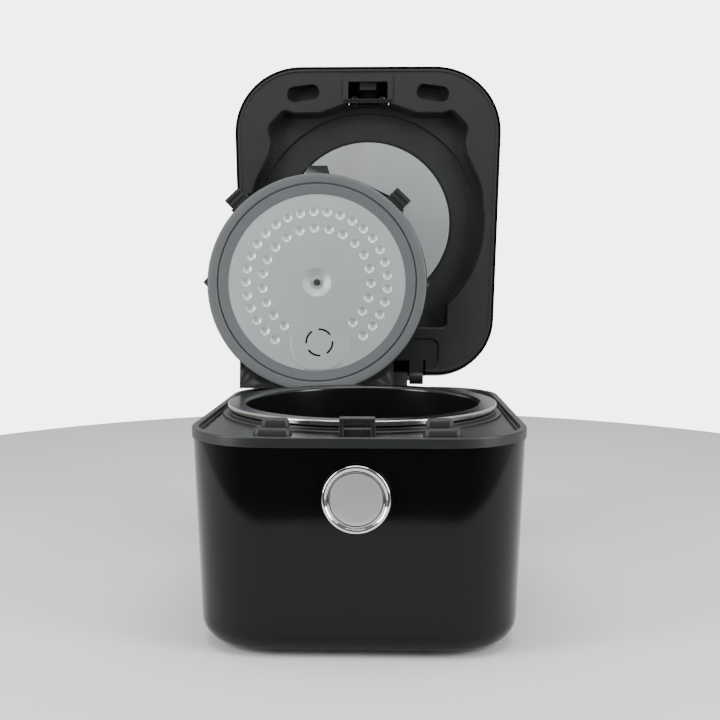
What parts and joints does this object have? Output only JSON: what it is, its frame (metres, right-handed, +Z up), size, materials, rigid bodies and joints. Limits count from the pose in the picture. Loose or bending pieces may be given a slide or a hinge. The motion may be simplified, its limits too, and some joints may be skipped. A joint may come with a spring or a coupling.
{
  "type": "electric pressure cooker",
  "caption": "Electric multi and pressure cooker with a hinged lid, lift-out pot, removable vented inner lid and a front dial, shown open.",
  "frame": {"origin": "on the surface the feet stand on, straight under the pot's axis", "axes": "+Z up, -Y towards the front with the dial, +X to the right seen from the front"},
  "size_m": [0.3186, 0.4319, 0.5354],
  "materials": {
    "black_gloss": "high gloss",
    "black_satin": "satin",
    "black_fine": "fine texture",
    "steel": "satin",
    "cast_metal": "cast",
    "sheet_metal": "satin",
    "chrome_ring": "polished",
    "brushed_face": "spun",
    "nonstick": "non-stick coating",
    "gasket_grey": "satin silicone",
    "rubber_black": "matte",
    "board_green": "solder mask",
    "contact_brass": "bright"
  },
  "bodies": {
    "body": {"outer_body": "black_gloss", "base_plate": "black_fine", "feet": "rubber_black", "base_screws": "steel", "deck": "black_satin", "pot_well": "sheet_metal", "heating_plate": "cast_metal", "heater_posts": "steel", "sensor_tube": "steel", "sensor_spring": "steel", "power_board": "board_green", "power_parts": "black_fine", "control_board": "board_green", "push_switch": "black_fine", "encoder": "black_fine", "dial_seat": "black_gloss", "inlet_socket": "black_fine", "inlet_pins": "contact_brass", "striker": "black_satin", "lid_stops": "black_fine", "stop_caps": "black_fine", "hinge_housing": "black_satin", "hinge_pin": "steel", "lid_springs": "steel"},
    "sensor": {"sensor_cap": "sheet_metal"},
    "dial": {"dial_ring": "chrome_ring"},
    "start_button": {"dial_button": "brushed_face"},
    "pot": {"pot": "nonstick"},
    "lid": {"lid_cover": "black_gloss", "lid_liner": "black_fine", "lid_disc": "sheet_metal", "disc_screws": "steel", "hinge_bracket": "steel", "bracket_screws": "steel", "latch_spring": "steel", "button_spring": "steel", "steam_pipe": "rubber_black"},
    "latch": {"latch_slide": "steel"},
    "release": {"release_button": "black_fine"},
    "steam_cap": {"steam_cap": "black_fine"},
    "carrier": {"carry_pin": "steel"},
    "inner_lid": {"inner_frame": "black_satin", "inner_gasket": "gasket_grey", "inner_plate": "sheet_metal", "vent_seal": "gasket_grey", "catch_springs": "steel"},
    "float": {"float_pin": "rubber_black"},
    "left_catch": {"left_catch": "black_satin"},
    "right_catch": {"right_catch": "black_satin"}
  },
  "joints": [
    {"name": "lid_hinge", "type": "hinge", "parent": "body", "child": "lid", "pos_m": [0, 0.1715, 0.198], "axis": [-1, 0, 0], "range_deg": [-98.9, 0], "stiffness_Nm_per_rad": 0.25, "springref_deg": 68.75, "deforming": ["lid_springs"]},
    {"name": "inner_lid_carry", "type": "slide", "parent": "body", "child": "carrier", "axis": [-0.9109, -0.3482, -0.2215], "range_m": [-0.05753, 0]},
    {"name": "inner_lid_tip", "type": "hinge", "parent": "carrier", "child": "inner_lid", "pos_m": [0, 0.11297, 0.17326], "axis": [-1, 0, 0], "range_deg": [-98.9, 0]},
    {"name": "pot_lift", "type": "slide", "parent": "body", "child": "pot", "axis": [0, 0, 1], "range_m": [0, 0.16]},
    {"name": "sensor_press", "type": "slide", "parent": "body", "child": "sensor", "axis": [0, 0, 1], "range_m": [-0.002, 0], "stiffness_N_per_m": 500, "springref_m": 0.002, "deforming": ["sensor_spring"]},
    {"name": "dial_turn", "type": "hinge", "parent": "body", "child": "dial", "pos_m": [0, -0.16734, 0.1388], "axis": [0, -1, 0], "continuous": true},
    {"name": "start_press", "type": "slide", "parent": "body", "child": "start_button", "axis": [0, -1, 0], "range_m": [-0.0012, 0], "stiffness_N_per_m": 800, "springref_m": 0.0006},
    {"name": "release_press", "type": "slide", "parent": "lid", "child": "release", "axis": [0, 0.988, -0.1547], "range_m": [-0.005, 0], "stiffness_N_per_m": 600, "springref_m": 0.002, "deforming": ["button_spring"]},
    {"name": "latch_draw", "type": "slide", "parent": "lid", "child": "latch", "axis": [0, 0.1547, 0.988], "range_m": [0, 0.005], "deforming": ["latch_spring"]},
    {"name": "steam_cap_pull", "type": "slide", "parent": "lid", "child": "steam_cap", "axis": [0, 0.988, -0.1547], "range_m": [0, 0.03]},
    {"name": "float_rise", "type": "slide", "parent": "inner_lid", "child": "float", "axis": [0, 0.988, -0.1547], "range_m": [0, 0.003]},
    {"name": "left_catch_pull", "type": "slide", "parent": "inner_lid", "child": "left_catch", "axis": [-0.6984, 0.1107, 0.7071], "range_m": [-0.003, 0], "stiffness_N_per_m": 400, "springref_m": 0.002, "deforming": ["catch_springs"]},
    {"name": "right_catch_pull", "type": "slide", "parent": "inner_lid", "child": "right_catch", "axis": [0.6984, 0.1107, 0.7071], "range_m": [-0.003, 0], "stiffness_N_per_m": 400, "springref_m": 0.002}
  ],
  "couplings": [
    {"joint": "inner_lid_carry", "follows": "lid_hinge", "m_per_rad": 0.033328},
    {"joint": "inner_lid_tip", "follows": "lid_hinge", "ratio": 1},
    {"joint": "latch_draw", "follows": "release_press", "ratio": -1}
  ]
}
